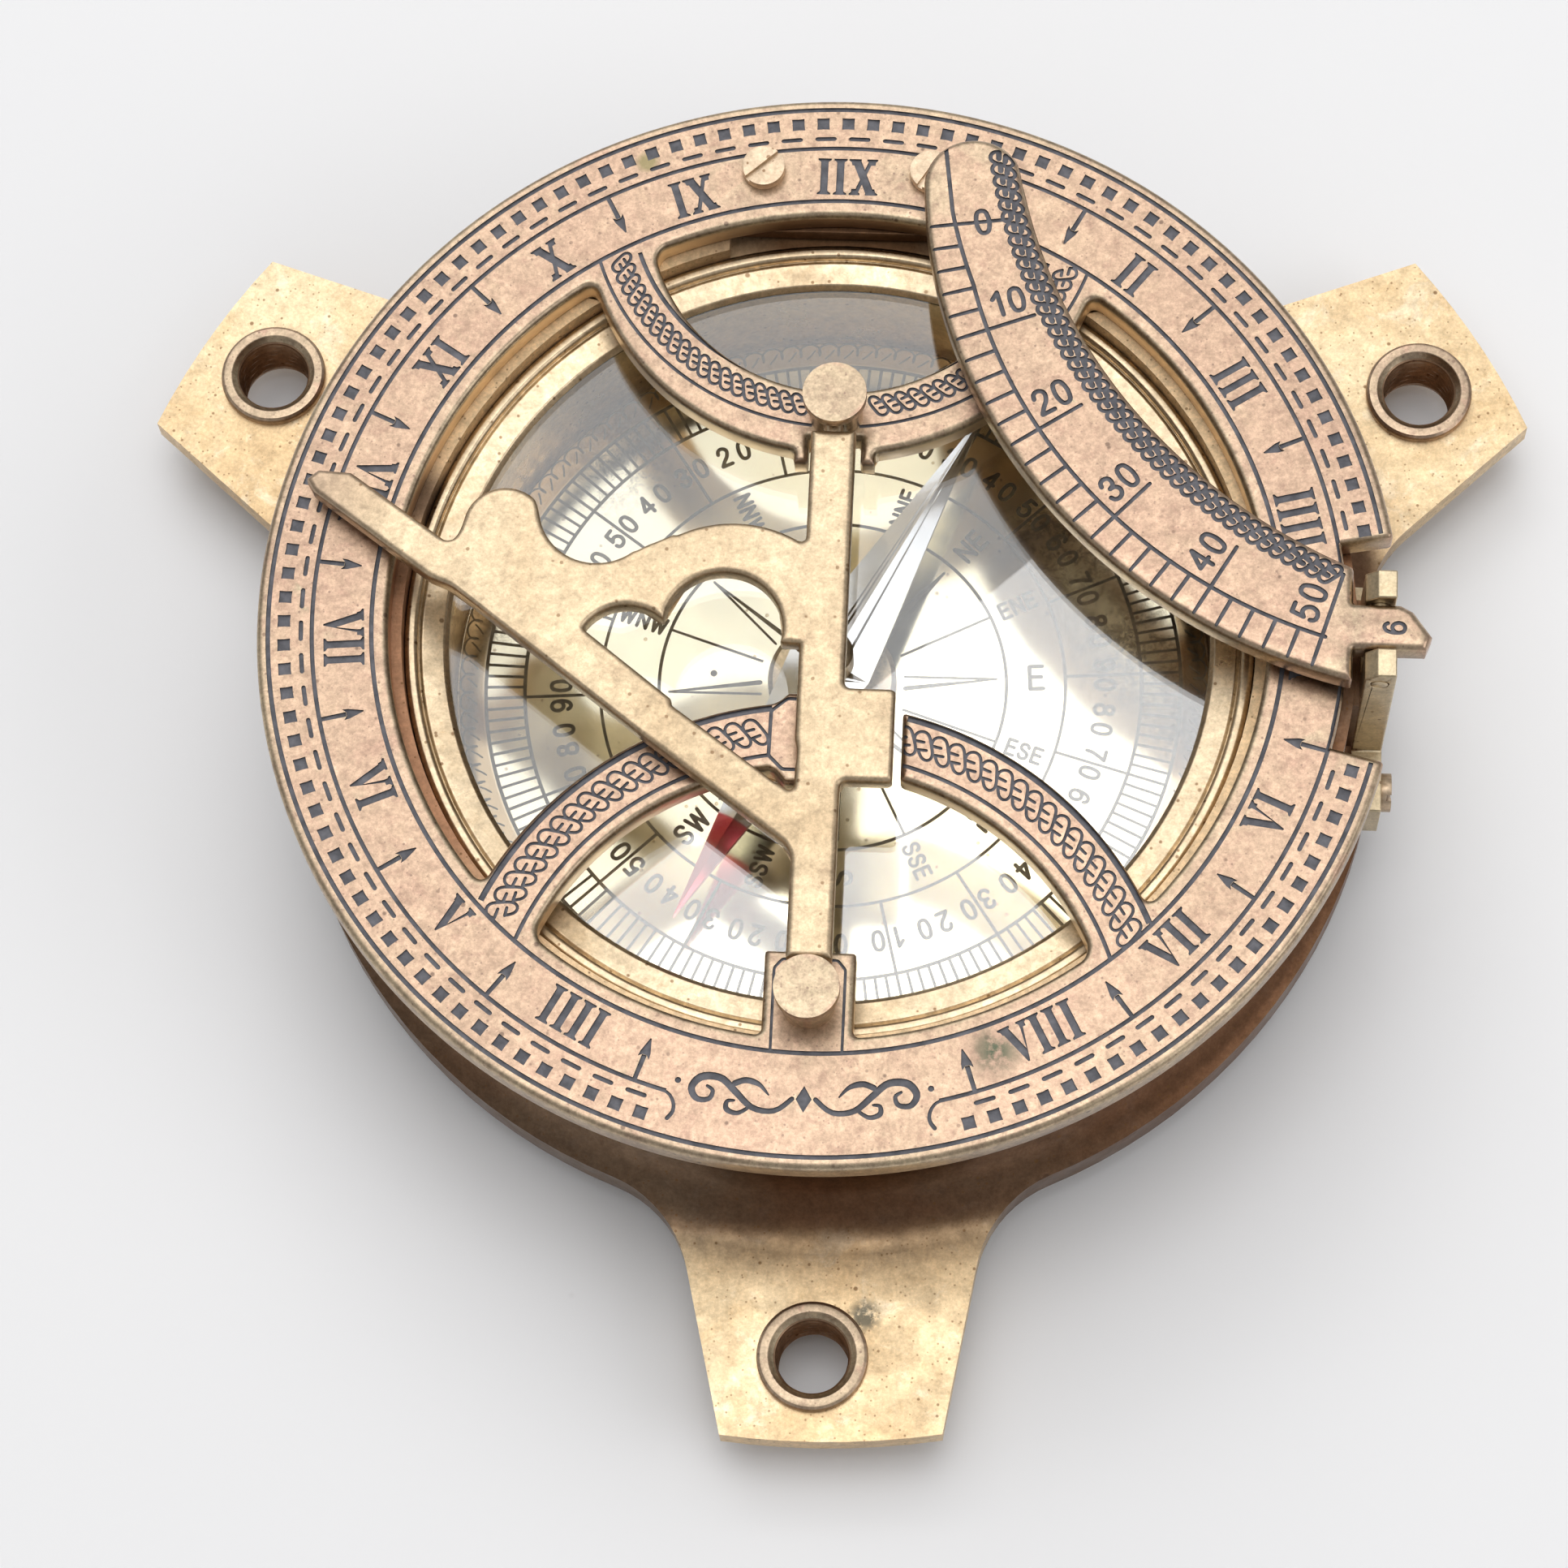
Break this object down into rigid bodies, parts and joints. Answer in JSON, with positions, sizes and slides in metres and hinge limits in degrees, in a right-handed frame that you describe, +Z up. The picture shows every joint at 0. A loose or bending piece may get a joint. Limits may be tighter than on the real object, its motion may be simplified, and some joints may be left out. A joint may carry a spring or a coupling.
{
  "type": "sundial compass",
  "caption": "Folding sundial compass: lugged base with a glazed compass, a pierced hour plate hinged at noon, a fold-down gnomon and a fold-down latitude arc.",
  "frame": {"origin": "on the dial's axis, at the centre of the base's flat underside", "axes": "+Z up out of the dial; +Y towards the noon mark (XII), where the dial plate is hinged; +X towards the latitude arc's bracket"},
  "size_m": [0.1398, 0.1308, 0.0358],
  "materials": {
    "base_casting": "cast and brushed yellow brass with small brown specks",
    "levelling_bushes": "turned brass, bronzed",
    "compass_bowl": "turned brass",
    "rose_card": "polished brass, engraved and filled",
    "needle_pivot": "polished brass with a steel point",
    "needle": "bright steel, red at the south tip",
    "needle_cap": "polished brass",
    "glass_seal": "dark cord seal",
    "cover_glass": "clear flat glass",
    "bezel_ring": "turned brass",
    "dial_plate": "bronzed brass with engraved, dark-filled lines",
    "hinge_leaf_dial": "dull brass",
    "hinge_leaf_base": "dull brass",
    "hinge_pin": "steel wire",
    "dial_hinge_screws": "turned brass, slotted",
    "base_hinge_screws": "turned brass, slotted",
    "pillar_north": "bronzed brass, turned",
    "pillar_south": "bronzed brass, turned",
    "gnomon": "satin cast brass",
    "arc_bracket": "pale filed brass",
    "bracket_screws": "turned brass, slotted",
    "arc_pivot_pin": "brass pin",
    "latitude_arc": "bronzed brass with engraved, dark-filled lines"
  },
  "bodies": {
    "base": {"base_casting": "base_casting", "levelling_bushes": "levelling_bushes", "compass_bowl": "compass_bowl", "rose_card": "rose_card", "needle_pivot": "needle_pivot", "glass_seal": "glass_seal", "cover_glass": "cover_glass", "bezel_ring": "bezel_ring", "hinge_leaf_base": "hinge_leaf_base", "hinge_pin": "hinge_pin", "base_hinge_screws": "base_hinge_screws", "arc_bracket": "arc_bracket", "bracket_screws": "bracket_screws", "arc_pivot_pin": "arc_pivot_pin"},
    "dial": {"dial_plate": "dial_plate", "hinge_leaf_dial": "hinge_leaf_dial", "dial_hinge_screws": "dial_hinge_screws", "pillar_north": "pillar_north", "pillar_south": "pillar_south"},
    "gnomon": {"gnomon": "gnomon"},
    "arc": {"latitude_arc": "latitude_arc"},
    "compass_needle": {"needle": "needle", "needle_cap": "needle_cap"}
  },
  "joints": [
    {"name": "dial_tilt", "type": "hinge", "parent": "base", "child": "dial", "pos_m": [0, 0.0513, 0.0249], "axis": [-1, 0, 0], "range_deg": [0, 1.2]},
    {"name": "gnomon_fold", "type": "hinge", "parent": "dial", "child": "gnomon", "pos_m": [0, 0, 0.0331], "axis": [0, 1, 0], "range_deg": [0, 90]},
    {"name": "arc_fold", "type": "hinge", "parent": "base", "child": "arc", "pos_m": [0.0527, 0, 0.03325], "axis": [0, 1, 0], "range_deg": [0, 90]},
    {"name": "needle_spin", "type": "hinge", "parent": "base", "child": "compass_needle", "pos_m": [0, 0, 0.0163], "axis": [0, 0, 1], "continuous": true}
  ]
}
